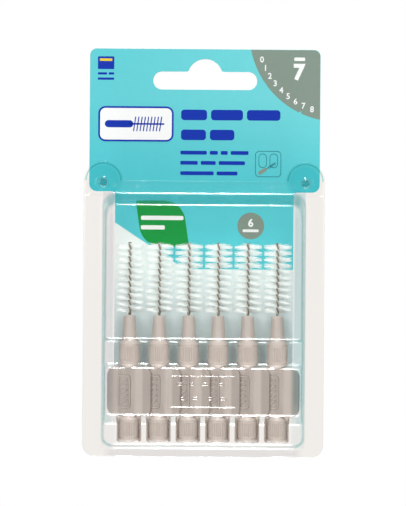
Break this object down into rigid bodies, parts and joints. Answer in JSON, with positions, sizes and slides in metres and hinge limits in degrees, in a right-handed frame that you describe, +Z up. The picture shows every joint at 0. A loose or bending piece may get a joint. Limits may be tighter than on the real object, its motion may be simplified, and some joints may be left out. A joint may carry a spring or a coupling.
{
  "type": "interdental brush hang pack",
  "caption": "Hang pack of interdental brushes: slotted board, clear blister with hinged back cover, and flat-grip handles with twisted wires and round bristles.",
  "frame": {"origin": "the point at the top of the hang slot where the peg bears, on the board's front face", "axes": "+Z up along the brushes, +Y out of the back cover, +X to the right seen from the front"},
  "size_m": [0.0742, 0.011, 0.1256],
  "materials": {
    "board": "coated printed board",
    "clear_film": "clear thermoformed sheet",
    "handle_plastic": "satin moulded polypropylene",
    "wire_steel": "twisted coated stainless wire",
    "nylon": "translucent white filaments"
  },
  "bodies": {
    "pack": {"hang_card": "board", "front_blister": "clear_film"},
    "cover": {"back_cover": "clear_film"},
    "brush_1": {"handle_1": "handle_plastic", "wire_1": "wire_steel", "filaments_1": "nylon"},
    "brush_2": {"handle_2": "handle_plastic", "wire_2": "wire_steel", "filaments_2": "nylon"},
    "brush_3": {"handle_3": "handle_plastic", "wire_3": "wire_steel", "filaments_3": "nylon"},
    "brush_4": {"handle_4": "handle_plastic", "wire_4": "wire_steel", "filaments_4": "nylon"},
    "brush_5": {"handle_5": "handle_plastic", "wire_5": "wire_steel", "filaments_5": "nylon"},
    "brush_6": {"handle_6": "handle_plastic", "wire_6": "wire_steel", "filaments_6": "nylon"}
  },
  "joints": [
    {"name": "cover_hinge", "type": "hinge", "parent": "pack", "child": "cover", "pos_m": [0, 0.00015, -0.1225], "axis": [-1, 0, 0], "range_deg": [0, 150]},
    {"name": "brush_1_play", "type": "slide", "parent": "pack", "child": "brush_1", "axis": [0, 0, 1], "range_m": [0, 0.0005]},
    {"name": "brush_2_play", "type": "slide", "parent": "pack", "child": "brush_2", "axis": [0, 0, 1], "range_m": [0, 0.0005]},
    {"name": "brush_3_play", "type": "slide", "parent": "pack", "child": "brush_3", "axis": [0, 0, 1], "range_m": [0, 0.0005]},
    {"name": "brush_4_play", "type": "slide", "parent": "pack", "child": "brush_4", "axis": [0, 0, 1], "range_m": [0, 0.0005]},
    {"name": "brush_5_play", "type": "slide", "parent": "pack", "child": "brush_5", "axis": [0, 0, 1], "range_m": [0, 0.0005]},
    {"name": "brush_6_play", "type": "slide", "parent": "pack", "child": "brush_6", "axis": [0, 0, 1], "range_m": [0, 0.0005]}
  ]
}
